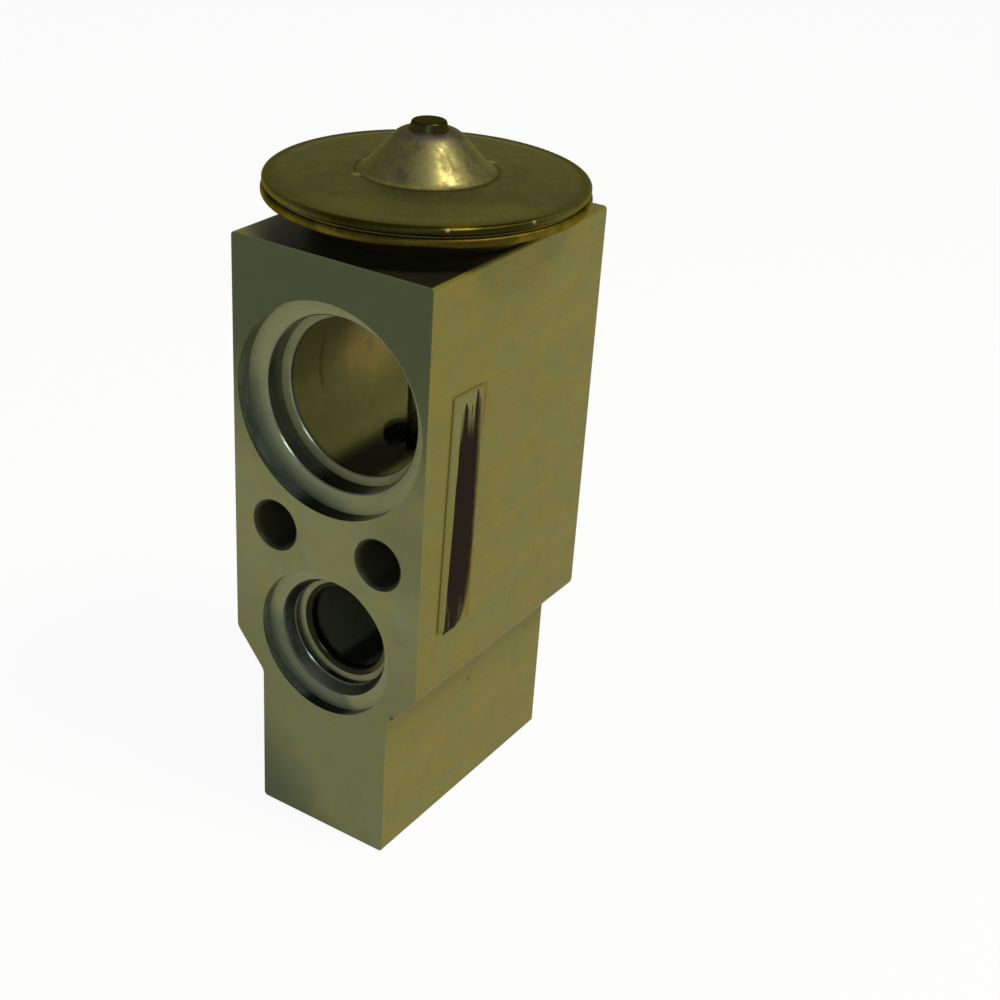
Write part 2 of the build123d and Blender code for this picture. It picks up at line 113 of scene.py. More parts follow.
LABEL_LOW, LABEL_HIGH = (0.178, 0.161, 0.050, 1), (0.182, 0.172, 0.070, 1)
LABEL_RIM, LABEL_GLUE = (0.145, 0.126, 0.036, 1), (0.215, 0.150, 0.010, 1)
LABEL_GLANCE = (1.0, 0.85, 0.50, 1)
SQUEEZED_GLUE = (0.150, 0.104, 0.008, 1)
INK_DARK, INK_PALE = (0.006, 0.002, 0.0, 1.0), (0.015, 0.007, 0.001, 1.0)

METAL_DIRT, SEAL_DUST = (0.030, 0.026, 0.012, 1), (0.20, 0.19, 0.15, 1)
PLUG_DARK, PLUG_GLANCE = (0.034, 0.031, 0.011, 1), (0.50, 0.48, 0.28, 1)
ROD_GREY_SHADED, SPRING_GREY = (0.085, 0.080, 0.042, 1), (0.060, 0.058, 0.038, 1)
BRASS_YELLOW = (0.330, 0.215, 0.055, 1)
RUBBER_BLACK, BACKUP_CREAM = (0.012, 0.013, 0.010, 1), (0.420, 0.400, 0.320, 1)
WHITE, FLOOR_GREY = (1.0, 1.0, 1.0, 1.0), (0.80, 0.80, 0.80, 1.0)


# ---- Node building ----------------------------------------------------------------------
class Wiring:
    """Short calls that place and link the nodes of one node tree."""

    def __init__(self, tree):
        self.tree = tree

    def add(self, kind, **settings):
        node = self.tree.nodes.new(kind)
        for key, value in settings.items():
            setattr(node, key, value)
        return node

    def feed(self, node, socket, value):
        """Links an output to a socket, or sets the socket to a plain value."""
        socket = node.inputs[socket]
        if isinstance(value, bpy.types.NodeSocket):
            self.tree.links.new(value, socket)
        else:
            socket.default_value = value

    def wire(self, kind, output, inputs, **settings):
        node = self.add(kind, **settings)
        for socket, value in inputs.items():
            self.feed(node, socket, value)
        return node.outputs[output]

    def use(self, group, **inputs):
        node = self.add("ShaderNodeGroup", node_tree=group)
        for socket, value in inputs.items():
            self.feed(node, socket, value)
        return node.outputs

    # Arithmetic
    def math(self, operation, *values, clamp=False):
        inputs = dict(enumerate(values))
        return self.wire("ShaderNodeMath", 0, inputs, operation=operation, use_clamp=clamp)

    def chain(self, operation, values):
        """One operation on the first two values, then on that and the next, and so on."""
        result = values[0]
        for value in values[1:]:
            result = self.math(operation, result, value)
        return result

    def sum(self, *values):
        return self.chain("ADD", values)

    def times(self, *values):
        return self.chain("MULTIPLY", values)

    def highest(self, *values):
        return self.chain("MAXIMUM", values)

    def lowest(self, *values):
        return self.chain("MINIMUM", values)

    def minus(self, first, second):
        return self.math("SUBTRACT", first, second)

    def inverse(self, value):
        return self.math("SUBTRACT", 1.0, value)

    def centred(self, value):
        """A 0 to 1 value moved to lie evenly about 0."""
        return self.minus(value, 0.5)

    # Masks
    def ramp(self, value, low, high):
        """0 below low and 1 above high, smoothly; the other way round where low is the larger."""
        if low > high:
            return self.inverse(self.ramp(value, high, low))
        inputs = {"Value": value, "From Min": low, "From Max": high}
        return self.wire("ShaderNodeMapRange", "Result", inputs, interpolation_type="SMOOTHSTEP")

    def ramp_mm(self, value, low, high):
        """Ramp with its ends in millimetres."""
        return self.ramp(value, low * MM, high * MM)

    def facing(self, share):
        """1 where this share of the normal points straight along its axis."""
        return self.ramp(share, 0.90, 0.98)

    def spot(self, vector, centre, core, edge):
        """1 within core of a point, falling to 0 at edge."""
        inputs = {0: vector, 1: centre}
        away = self.wire("ShaderNodeVectorMath", "Value", inputs, operation="DISTANCE")
        return self.ramp(away, edge, core)

    def curve(self, value, start, stop, low, high, points):
        """Smooth curve through (share of the way from start to stop, output) points."""
        share = self.math("DIVIDE", self.minus(value, start), stop - start, clamp=True)
        node = self.add("ShaderNodeFloatCurve")
        line = node.mapping.curves[0]
        scaled = [(x, (y - low) / (high - low)) for x, y in points]
        line.points[0].location, line.points[-1].location = scaled[0], scaled[-1]
        for x, y in scaled[1:-1]:
            line.points.new(x, y)
        node.mapping.update()
        self.feed(node, "Value", share)
        return self.math("MULTIPLY_ADD", node.outputs[0], high - low, low)

    # Mixing
    def blend(self, factor, first, second):
        """Number between first and second."""
        inputs = {0: factor, 2: first, 3: second}
        return self.wire("ShaderNodeMix", 0, inputs, data_type="FLOAT")

    def tint(self, factor, first, second, way="MIX"):
        """Colour between first and second."""
        inputs = {0: factor, 6: first, 7: second}
        return self.wire("ShaderNodeMix", 2, inputs, data_type="RGBA", blend_type=way)

    def paint(self, colour, over, *masks):
        """Colour with another laid over it, as strongly as the product of the masks."""
        return self.tint(self.times(*masks), colour, over)

    def shade(self, colour, amount):
        """Colour multiplied by a grey amount."""
        return self.tint(1.0, colour, amount, "MULTIPLY")

    # Patterns
    def noise(self, vector, scale, detail=4.0, roughness=0.55):
        inputs = {"Vector": vector, "Scale": scale, "Detail": detail, "Roughness": roughness}
        return self.wire("ShaderNodeTexNoise", "Fac", inputs)

    def noise_along(self, value, scale, detail=3.0):
        inputs = {"W": value, "Scale": scale, "Detail": detail}
        return self.wire("ShaderNodeTexNoise", "Fac", inputs, noise_dimensions="1D")

    # Places
    def stretch(self, vector, x, y, z):
        inputs = {0: vector, 1: (x, y, z)}
        return self.wire("ShaderNodeVectorMath", 0, inputs, operation="MULTIPLY")

    def split(self, vector):
        node = self.add("ShaderNodeSeparateXYZ")
        self.feed(node, 0, vector)
        return node.outputs["X"], node.outputs["Y"], node.outputs["Z"]

    def place(self):
        """Position on the piece, as a vector and as x, y and z."""
        vector = self.add("ShaderNodeTexCoord").outputs["Object"]
        return (vector, *self.split(vector))

    def normal(self):
        """x, y and z of the way the surface faces at rest."""
        vector = self.add("ShaderNodeTexCoord").outputs["Normal"]
        return self.split(vector)

    def radius(self, across, along):
        squares = self.sum(self.times(across, across), self.times(along, along))
        return self.math("SQRT", squares)

    def angle(self, across, along):
        return self.math("ARCTAN2", along, across)


def effect(name, inputs, outputs, build):
    """Shader node group with named sockets. build returns the outputs' values in order."""
    group = bpy.data.node_groups.new(name, "ShaderNodeTree")
    for label, (kind, value) in inputs.items():
        kind = "NodeSocket" + kind
        socket = group.interface.new_socket(label, in_out="INPUT", socket_type=kind)
        socket.default_value = value
    for label in outputs:
        group.interface.new_socket(label, in_out="OUTPUT", socket_type="NodeSocketFloat")
    wiring = Wiring(group)
    source = wiring.add("NodeGroupInput").outputs
    sink = wiring.add("NodeGroupOutput")
    for label, value in zip(outputs, build(wiring, *(source[label] for label in inputs))):
        wiring.feed(sink, label, value)
    return group


# ---- Shared effects ---------------------------------------------------------------------
PLACE = ("Vector", (0.0, 0.0, 0.0))


def around_one(w, value, contrast):
    """A 0 to 1 pattern turned into a multiplier that lies evenly about 1."""
    return w.math("MULTIPLY_ADD", w.centred(value), w.times(contrast, 2.0), 1.0)


def build_grain(w, place, scale, contrast):
    fine = w.noise(place, scale, 3.0, 0.6)
    coarse = w.noise(place, w.times(scale, 0.11), 3.0, 0.5)
    return around_one(w, w.blend(0.4, fine, coarse), contrast), fine


FINE_GRAIN = effect(
    "fine_grain",
    {"Place": PLACE, "Scale": ("Float", 900.0), "Contrast": ("Float", 0.2)},
    ("Shade", "Height"), build_grain,
)


def build_lines(w, place, scale, contrast):
    lines = w.noise(place, scale, 4.0, 0.65)
    broad = w.noise(place, w.times(scale, 0.16), 2.0, 0.5)
    return around_one(w, w.blend(0.4, lines, broad), contrast), lines


DRAWN_LINES = effect(
    "drawn_lines",
    {"Place": PLACE, "Scale": ("Float", 1200.0), "Contrast": ("Float", 0.2)},
    ("Shade", "Height"), build_lines,
)


def build_rings(w, place, travel, feed, contrast):
    turns = w.math("DIVIDE", travel, feed)
    wobble = w.times(w.noise(place, 110.0, 2.0), 0.35)
    wave = w.math("SINE", w.times(w.sum(turns, wobble), 2 * math.pi))
    ridge = w.math("MULTIPLY_ADD", wave, 0.5, 0.5)
    slow = w.noise_along(turns, 0.23)
    return around_one(w, w.blend(0.6, ridge, slow), contrast), ridge


TURNED_RINGS = effect(
    "turned_rings",
    {
        "Place": PLACE, "Travel": ("Float", 0.0), "Feed": ("Float", 0.30 * MM),
        "Contrast": ("Float", 0.1),
    },
    ("Shade", "Height"), build_rings,
)


def build_grime(w, place, shelter, scale, amount):
    level = w.sum(w.noise(place, scale, 3.0, 0.6), w.times(shelter, 0.35))
    return (w.times(w.ramp(level, 0.52, 0.82), amount),)


GRIME = effect(
    "grime",
    {
        "Place": PLACE, "Shelter": ("Float", 0.0), "Scale": ("Float", 250.0),
        "Amount": ("Float", 0.5),
    },
    ("Mask",), build_grime,
)


def build_wear(w, place, distance, width, amount):
    ragged = w.math("MULTIPLY_ADD", w.noise(place, 420.0), 1.5, 0.25)
    away = w.math("DIVIDE", distance, w.times(width, ragged))
    near = w.math("SUBTRACT", 1.0, away, clamp=True)
    return (w.times(near, amount),)


EDGE_WEAR = effect(
    "edge_wear",
    {
        "Place": PLACE, "Distance": ("Float", 1.0), "Width": ("Float", 0.3 * MM),
        "Amount": ("Float", 0.5),
    },
    ("Mask",), build_wear,
)


def build_ink(w, place):
    """One stroke of a worn marker: torn at its sides, split into prongs where it ends."""
    x, y, z = w.split(place)
    on_side = w.ramp(x, HALF_WIDTH - 0.3 * MM, HALF_WIDTH - 0.1 * MM)
    streaks = w.noise(w.stretch(place, 1.0, 1.0, 0.07), 2600.0, 5.0, 0.7)
    prongs = w.noise(w.stretch(place, 1.0, 1.0, 0.05), 950.0, 2.0)
    tears = w.noise(w.stretch(place, 1.0, 1.0, 0.30), 520.0, 3.0, 0.6)
    drift = w.noise(w.stretch(place, 1.0, 0.2, 1.0), 170.0, 3.0, 0.5)
    ragged = w.times(w.centred(streaks), 2.6 * MM)
    torn = w.times(w.centred(tears), 1.3 * MM)
    sway = w.times(w.centred(drift), 0.9 * MM)

    left = w.math("MULTIPLY_ADD", z, 0.050, -14.78 * MM)
    right = w.curve(
        z, STROKE_EDGE_FROM, STROKE_EDGE_TO, -12 * MM, -7 * MM, STROKE_RIGHT_EDGE)
    left_gap = w.sum(w.minus(y, left), w.times(sway, 0.35))
    right_gap = w.sum(w.minus(right, y), w.times(sway, 0.6), w.times(torn, 0.6))
    prong_length = w.times(w.minus(0.5, prongs), 9.0 * MM)
    top_gap = w.minus(w.sum(w.times(ragged, 0.6), prong_length, STROKE_TOP), z)
    bottom_gap = w.minus(z, w.math("MULTIPLY_ADD", ragged, 0.25, STROKE_FOOT))
    inside = w.lowest(w.lowest(left_gap, right_gap), w.lowest(top_gap, bottom_gap))

    right_rag = w.math("MULTIPLY_ADD", ragged, 0.55, right_gap)
    feathered = w.times(w.ramp(right_rag, 0.85 * MM, 0.0), 0.65)
    split_top = w.ramp(w.blend(0.35, prongs, streaks), 0.47, 0.56)
    dry_top = w.times(w.ramp_mm(z, 56.8, 61.0), split_top)
    dry_foot = w.times(w.ramp_mm(z, 38, 33), w.ramp(streaks, 0.52, 0.66), 0.6)
    thin = w.highest(feathered, w.highest(dry_top, dry_foot))
    cover = w.times(w.ramp_mm(inside, -0.06, 0.10), on_side)
    return w.times(cover, w.inverse(w.times(thin, 0.8))), streaks


MARKER_INK = effect("marker_ink", {"Place": PLACE}, ("Cover", "Streaks"), build_ink)


# ---- Finishes ---------------------------------------------------------------------------
def finish(name, metallic=1.0):
    """Material with one shader, and the wiring that feeds it."""
    material = bpy.data.materials.new(name)
    material.use_nodes = True
    material.node_tree.nodes.clear()
    w = Wiring(material.node_tree)
    shader = w.add("ShaderNodeBsdfPrincipled")
    w.feed(w.add("ShaderNodeOutputMaterial"), "Surface", shader.outputs[0])
    shader.inputs["Metallic"].default_value = metallic
    return material, w, shader


def surface(w, shader, colour, roughness, relief, depth, strength):
    """Feeds the shader's colour and roughness, and a relief of the given depth."""
    w.feed(shader, "Base Color", colour)
    w.feed(shader, "Roughness", roughness)
    inputs = {"Height": relief, "Distance": depth, "Strength": strength}
    w.feed(shader, "Normal", w.wire("ShaderNodeBump", 0, inputs))


def label_frame(w, y, z):
    """Distances across and along the label, which leans a little on the block's side."""
    away_y, away_z = w.minus(y, LABEL_MIDDLE[0]), w.minus(z, LABEL_MIDDLE[1])
    cosine, sine = math.cos(LABEL_TILT), math.sin(LABEL_TILT)
    across = w.minus(w.times(away_y, cosine), w.times(away_z, sine))
    along = w.sum(w.times(away_y, sine), w.times(away_z, cosine))
    return across, along


# ---- Block ------------------------------------------------------------------------------
class BlockPlaces:
    """Where a point of the block lies: its place, its face, and how far into a port."""

    def __init__(self, w):
        self.vector, self.x, self.y, self.z = w.place()
        self.nx, ny, self.nz = w.normal()
        self.end = w.facing(w.math("ABSOLUTE", ny))
        self.not_end = w.inverse(self.end)
        self.depth = w.minus(HALF_DEPTH, w.math("ABSOLUTE", self.y))
        self.deep = w.ramp_mm(self.depth, 5.5, 6.4)
        suction_reach, in_suction = self.port(w, SUCTION_HEIGHT, SUCTION_MOUTH)
        self.outlet_reach, in_outlet = self.port(w, OUTLET_HEIGHT, OUTLET_MOUTH)
        inlet_reach, in_inlet = self.port(w, INLET_HEIGHT, INLET_MOUTH)
        self.in_port = w.highest(in_suction, in_outlet, in_inlet)
        self.reach = w.lowest(suction_reach, self.outlet_reach, inlet_reach)

    def port(self, w, height, mouth):
        """Distance from a port's axis, and a mask of the surfaces sunk inside its mouth."""
        reach = w.radius(self.x, w.minus(self.z, height))
        inside = w.ramp(reach, mouth + 0.30 * MM, mouth + 0.10 * MM)
        return reach, w.times(inside, w.ramp_mm(self.depth, 0.02, 0.08))


def seat_colour(w, at):
    """Stepped port mouths: pale faces with painted shade on their right, walls with a painted
    cool highlight at the lower left, faces there with a painted cool reflection, and painted
    shade on the outlet's seat ring and step.
    """
    axis_height = w.blend(w.ramp_mm(at.z, 43, 44), OUTLET_HEIGHT, SUCTION_HEIGHT)
    lower_left = w.math("DIVIDE", w.minus(w.minus(axis_height, at.z), at.x), at.reach)
    colour = w.tint(at.end, SEAT_WALL, SEAT_FACE)

    # Painted shade on the outlet's seat ring, all round but its bottom.
    seat_ring_shade = w.times(
        w.ramp_mm(at.outlet_reach, 8.15, 7.95), w.ramp_mm(at.depth, 1.9, 2.3),
        w.ramp_mm(at.depth, 4.2, 3.6), w.ramp_mm(at.z, 20.4, 23.2),
    )
    colour = w.paint(colour, SEAT_RING_SHADE, seat_ring_shade, 0.85)

    # Painted highlight: pale blue streaks on the port walls at the lower left.
    streak = w.ramp(w.noise(w.stretch(at.vector, 1.0, 5.0, 1.0), 260.0, 3.0), 0.40, 0.62)
    painted_highlight = w.times(
        at.not_end, w.ramp(lower_left, 0.50, 1.10), w.sum(0.25, w.times(streak, 0.65)),
        w.sum(0.14, w.times(w.ramp_mm(at.depth, 2.3, 1.7), 0.86)),
    )
    colour = w.paint(colour, COOL_HIGHLIGHT, painted_highlight)

    # Painted shade: the outlet's inner step near black.
    step_shade = w.times(w.ramp_mm(at.outlet_reach, 6.50, 6.38), w.ramp_mm(at.depth, 3.9, 4.1))
    colour = w.paint(colour, STEP_SHADE, step_shade, 0.95)
    shaded = w.times(at.end, w.ramp_mm(at.x, 2, 8), w.ramp_mm(at.depth, 2.2, 2.6))
    colour = w.paint(colour, SEAT_SHADED, shaded, 0.75)
    # Painted reflection: the port faces darker and bluer at the lower left.
    cool_reflection = w.times(
        at.end, w.ramp(lower_left, 0.70, 1.20), w.ramp_mm(at.depth, 2.6, 2.2),
        w.ramp_mm(at.depth, 0.3, 0.6),
    )
    return w.paint(colour, SEAT_COOL_REFLECTION, cool_reflection, 0.60)


def bore_colour(w, at, seats):
    """Seats, and behind them the bores, rough as cast: the outlet bore in painted shade, the
    suction bore in painted light, brighter on its lower part, with painted shade on its left and
    an orange patch.
    """
    # Painted light and shade: the suction bore's colour is lit and the outlet bore's is shaded;
    # the suction bore is lit more on its lower part and shaded on its left.
    colour = w.tint(at.deep, seats, w.tint(w.ramp_mm(at.z, 40, 44), OUTLET_BORE_SHADED, SUCTION_BORE_LIT))
    in_suction = w.times(at.deep, w.ramp_mm(at.z, 50, 51))
    colour = w.paint(colour, BORE_PAINTED_LIGHT, in_suction, w.ramp_mm(at.z, 61, 52), 0.85)
    colour = w.paint(colour, BORE_PAINTED_SHADE, in_suction, w.ramp_mm(at.x, -3, -9), 0.5)
    # An orange patch inside the suction bore.
    patchy = w.ramp(w.noise(at.vector, 300.0, 3.0), 0.25, 0.60)
    orange_patch = w.times(at.deep, w.spot(at.vector, BORE_ORANGE_PATCH, 2.5 * MM, 7.5 * MM), patchy)
    colour = w.paint(colour, ORANGE_PATCH, orange_patch, 0.7)
    cast = w.use(FINE_GRAIN, Place=at.vector, Scale=620.0, Contrast=0.30)["Shade"]
    return w.shade(colour, w.blend(at.deep, 1.0, cast))


def outside_colour(w, at):
    """Sides and ends: blotched, the ends greener and bluer as painted cool light; painted shade
    on the ends towards the top, the lower left and the foot; a smudge; warm at the shoulder and
    underneath.
    """
    blotch = w.ramp(w.noise(w.stretch(at.vector, 1.0, 0.6, 1.0), 340.0, 4.0, 0.65), 0.36, 0.64)
    sides = w.tint(blotch, SIDE_OLIVE, SIDE_SAND)
    # The ends' greener, bluer tone is painted cool light.
    colour = w.tint(at.end, sides, w.tint(blotch, END_SAGE_COOL_LIT, END_STRAW_COOL_LIT))
    sway = w.times(w.centred(w.noise(at.vector, 45.0, 3.0)), 14 * MM)
    # Painted shade: the ends darken towards the top, towards the lower left and low down.
    painted_end_shade = w.highest(
        w.ramp_mm(w.sum(at.z, sway), 48, 66),
        w.ramp_mm(w.sum(at.z, at.x, sway), 16, -10),
        w.times(w.ramp_mm(at.z, 40, 22), 0.3),
    )
    colour = w.paint(colour, SHADE_AND_SMUDGE_OLIVE, painted_end_shade, at.end, 0.9)
    smudge = w.spot(at.vector, SMUDGE, 2.5 * MM, 8.5 * MM)
    colour = w.paint(colour, SHADE_AND_SMUDGE_OLIVE, smudge, at.end, 0.30)
    shoulder = w.times(at.not_end, w.ramp_mm(at.z, 17, 20), w.ramp_mm(at.z, 27, 25))
    colour = w.paint(colour, SHOULDER_WARM, shoulder, 0.5)
    underside = w.times(at.not_end, w.ramp(at.nz, -0.1, -0.4))
    return w.paint(colour, UNDERSIDE_WARM, underside, 0.8)


def mounting_holes(w, at):
    """Masks of the painted shade in the mounting holes: on their walls and on their front edges.
    """
    across = w.minus(w.math("ABSOLUTE", at.x), MOUNTING_OFFSET)
    reach = w.radius(across, w.minus(at.z, MOUNTING_HEIGHT))
    wall = w.times(w.ramp_mm(reach, 3.2, 3.1), w.ramp_mm(at.depth, 0.3, 0.8))
    edge = w.times(w.ramp_mm(reach, 3.45, 3.36), w.ramp_mm(at.depth, 0.5, 0.4))
    return wall, edge


def dark_places(w, at):
    """Masks of the painted shadow on the top face under the cover, and of the painted shade in
    the rod's pocket above the outlet.
    """
    off_shadow = w.radius(w.minus(at.x, 4 * MM), w.sum(at.y, 8 * MM))
    cover_shadow = w.times(w.facing(at.nz), w.ramp_mm(off_shadow, 20.6, 15.2))
    pocket_shade = w.times(
        w.ramp_mm(w.radius(at.x, at.y), 4.5, 4.3), w.ramp_mm(at.z, 50.2, 49.4),
        w.ramp_mm(at.z, 44, 45),
    )
    return cover_shadow, pocket_shade


def edge_gap(w, at):
    """Distance to the block's nearest outer edge."""
    above_shoulder = w.ramp(at.z, SHOULDER_HEIGHT - 0.3 * MM, SHOULDER_HEIGHT + 0.1 * MM)
    side_gap = w.blend(above_shoulder, 1.0, w.minus(HALF_WIDTH, w.math("ABSOLUTE", at.x)))
    gap = w.blend(at.end, at.depth, w.lowest(side_gap, w.minus(BLOCK_HEIGHT, at.z)))
    return w.highest(gap, 0.0)


def squeezed_glue(w, at):
    """Mask of the glue that has come out along the label's right edge."""
    across, along = label_frame(w, at.y, at.z)
    off_line = w.math("ABSOLUTE", w.minus(across, 3.40 * MM))
    off_middle = w.math("ABSOLUTE", along)
    line = w.times(w.ramp_mm(off_line, 0.50, 0.15), w.ramp_mm(off_middle, 15.9, 15.3))
    broken = w.ramp(w.noise(w.stretch(at.vector, 1.0, 1.0, 0.4), 330.0), 0.30, 0.52)
    return w.times(line, w.facing(at.nx), broken)


def block_aluminium():
    """Extruded block with milled ends, turned ports and one stroke of marker."""
    material, w, shader = finish("block_aluminium")
    shader.inputs["Specular IOR Level"].default_value = 0.04
    at = BlockPlaces(w)

    drawn_place = w.stretch(at.vector, 1.0, 0.045, 1.0)
    milled_place = w.stretch(at.vector, 0.10, 1.0, 1.0)
    extruded = w.use(DRAWN_LINES, Place=drawn_place, Scale=1500.0, Contrast=0.18)
    milled = w.use(DRAWN_LINES, Place=milled_place, Scale=2300.0, Contrast=0.06)
    grain = w.use(FINE_GRAIN, Place=at.vector, Scale=3600.0, Contrast=0.14)
    patches = w.use(FINE_GRAIN, Place=at.vector, Scale=260.0, Contrast=0.05)["Shade"]
    stock = w.times(w.blend(at.end, extruded["Shade"], milled["Shade"]), grain["Shade"])
    travel = w.blend(at.end, at.depth, at.reach)
    rings = w.use(TURNED_RINGS, Place=at.vector, Travel=travel, Feed=0.34 * MM, Contrast=0.07)
    wear = w.use(
        EDGE_WEAR, Place=at.vector, Distance=edge_gap(w, at), Width=0.20 * MM, Amount=0.12)
    wear = w.times(wear["Mask"], w.inverse(at.in_port))
    shelter = w.times(at.in_port, w.ramp_mm(at.depth, 1.5, 8.0))
    dirt = w.use(GRIME, Place=at.vector, Shelter=shelter, Scale=300.0, Amount=0.14)["Mask"]
    hole_wall_shade, hole_rim_shade = mounting_holes(w, at)
    cover_shadow, pocket_shade = dark_places(w, at)

    # Painted shade on the mounting holes' front edges.
    colour = w.paint(outside_colour(w, at), HOLE_RIM_SHADE, hole_rim_shade)
    colour = w.paint(colour, bore_colour(w, at, seat_colour(w, at)), at.in_port)
    # Painted shadow under the cover, painted shade in the mounting holes and in the rod's pocket.
    colour = w.paint(colour, COVER_SHADE, cover_shadow, 0.93)
    colour = w.paint(colour, HOLE_SHADE, hole_wall_shade, 0.9)
    colour = w.paint(colour, POCKET_SHADE, pocket_shade)
    colour = w.shade(colour, w.blend(at.in_port, stock, rings["Shade"]))
    colour = w.shade(colour, patches)
    colour = w.paint(colour, BRIGHT_EDGE, wear)
    colour = w.paint(colour, DIRT_BROWN, dirt)
    colour = w.paint(colour, SQUEEZED_GLUE, squeezed_glue(w, at), 0.75)
    for centre in NICKS:
        nick = w.spot(at.vector, centre, 0.15 * MM, 0.55 * MM)
        colour = w.paint(colour, NICK_DARK, nick, 0.7)
    ink = w.use(MARKER_INK, Place=at.vector)
    inked = w.times(ink["Cover"], w.facing(at.nx))
    colour = w.paint(colour, w.tint(ink["Streaks"], INK_DARK, INK_PALE), inked)

    bored = w.times(at.in_port, at.not_end)
    flat_roughness = w.blend(w.times(at.in_port, at.end), 0.46, 0.36)
    bored_roughness = w.blend(at.deep, 0.26, 0.46)
    grain_roughness = w.times(w.centred(grain["Height"]), w.blend(at.in_port, 0.12, 0.0))
    roughness = w.sum(
        w.blend(bored, flat_roughness, bored_roughness), w.times(dirt, 0.30), grain_roughness)
    bored_metallic = w.blend(at.deep, 0.80, 0.60)
    w.feed(shader, "Metallic", w.times(w.inverse(inked), w.blend(bored, 0.62, bored_metallic)))
    stock_relief = w.blend(at.end, extruded["Height"], milled["Height"])
    relief = w.blend(at.in_port, stock_relief, rings["Height"])
    strength = w.blend(at.in_port, 0.5, w.blend(at.end, 0.03, 0.10))
    surface(w, shader, colour, roughness, relief, 0.004 * MM, strength)
    return material


# ---- Diaphragm housing --------------------------------------------------------------------
class HousingPlaces:
    """Where a point of the housing lies: its place, its radius, and how far to the front."""

    def __init__(self, w):
        self.vector, self.x, self.y, self.z = w.place()
        self.reach = w.radius(self.x, self.y)
        self.ahead = w.minus(w.times(self.x, FRONT_CORNER[0]), w.times(self.y, FRONT_CORNER[1]))
        self.on_dome = w.ramp(self.reach, DOME_FOOT + 0.2 * MM, DOME_FOOT - 0.5 * MM)


def cover_colour(w, at):
    """Flat of the cover and its dome: painted light on the flat's front, painted shade on the
    dome's left, a painted highlight along the dome's foot and painted shade in the crease just
    outside it.
    """
    mottle = w.ramp(w.noise(at.vector, 520.0, 4.0, 0.65), 0.34, 0.66)
    flat = w.tint(mottle, COVER_OLIVE, COVER_BROWN)
    flat = w.paint(flat, COVER_LIT, w.ramp_mm(at.ahead, 9, 14), 0.8)
    colour = w.tint(at.on_dome, flat, DOME_STEEL)
    colour = w.paint(colour, DOME_SHADED, at.on_dome, w.ramp_mm(at.x, -1, -7), 0.45)
    # Painted highlight along the front of the dome's foot.
    foot_highlight = w.times(
        w.ramp_mm(at.reach, 7.45, 7.75), w.ramp_mm(at.reach, 8.10, 7.90),
        w.ramp_mm(at.z, 84.6, 84.2), w.ramp_mm(at.ahead, 1, 6),
    )
    colour = w.paint(colour, FOOT_HIGHLIGHT, foot_highlight, 0.6)
    # Painted shade in the crease just outside the dome's foot.
    foot_crease_shade = w.times(w.ramp_mm(at.reach, 8.05, 8.25), w.ramp_mm(at.reach, 8.75, 8.40))
    return w.paint(colour, FOOT_CREASE_SHADE, foot_crease_shade, 0.6)


def rim_colour(w, at, colour):
    """Browns the welded rim: amber below the seam with painted shade on it in front, browner
    towards the cover's edge, a painted dark reflection above the seam in front, and a painted
    highlight on the upper edge.
    """
    amber = w.tint(w.ramp(w.noise(at.vector, 300.0), 0.35, 0.65), AMBER_DARK, AMBER_BRIGHT)
    # Painted shade: the amber darkens towards the front.
    amber = w.paint(amber, AMBER_SHADE, w.ramp_mm(at.ahead, 15.5, 18.6), 0.92)
    edge_browning = w.times(w.ramp_mm(at.reach, 16.6, 18.9), w.ramp_mm(at.z, 82.2, 82.6))
    colour = w.paint(colour, RIM_EDGE_BROWN, edge_browning, 0.55)
    below_seam = w.times(w.ramp_mm(at.reach, 17.9, 18.7), w.ramp_mm(at.z, 82.1, 81.95))
    colour = w.paint(colour, amber, below_seam, 0.95)
    # Painted dark reflection on the cover's rim wall above the seam, in front.
    front_dark_reflection = w.times(w.ramp_mm(at.reach, 18.1, 18.75), w.ramp_mm(at.z, 81.95, 82.1))
    colour = w.paint(colour, RIM_DARK_REFLECTION, front_dark_reflection, w.ramp_mm(at.ahead, 9, 17.5), 0.95)
    # Painted highlight on the rim's upper edge.
    rim_highlight = w.spot(at.vector, RIM_HIGHLIGHT_SPOT, 0.5 * MM, 2.6 * MM)
    return w.paint(colour, RIM_HIGHLIGHT_GOLD, rim_highlight, w.ramp_mm(at.z, 82.8, 83.0), 0.8)


def heat_marks(w, at, colour):
    """Blues the dome round the plug and stains it in two places."""
    ragged = w.times(w.centred(w.noise(at.vector, 500.0)), 2.0 * MM)
    blued = w.times(w.ramp_mm(w.sum(at.reach, ragged), 4.8, 3.0), w.ramp_mm(at.z, 86.0, 88.0))
    colour = w.paint(colour, BLUED, blued, 0.5)
    for centre, size in HEAT_STAINS:
        stain = w.spot(at.vector, centre, 0.2 * size, size)
        patchy = w.ramp(w.noise(at.vector, 700.0), 0.35, 0.62)
        colour = w.paint(colour, STAIN_GREY, stain, patchy, 0.4)
    return colour


def pale_marks(w, at, colour):
    """Two pale spots at the dome's foot and two spatter dots on the rim."""
    for centre in FOOT_MARKS:
        pale_spot = w.spot(at.vector, centre, 0.2 * MM, 1.0 * MM)
        colour = w.paint(colour, FOOT_MARK_PALE, pale_spot, w.ramp_mm(at.reach, 8.0, 8.3), 0.8)
    for centre in WELD_SPOTS:
        dot = w.spot(at.vector, centre, 0.08 * MM, 0.40 * MM)
        colour = w.paint(colour, WELD_PALE, dot, 0.6)
    return colour


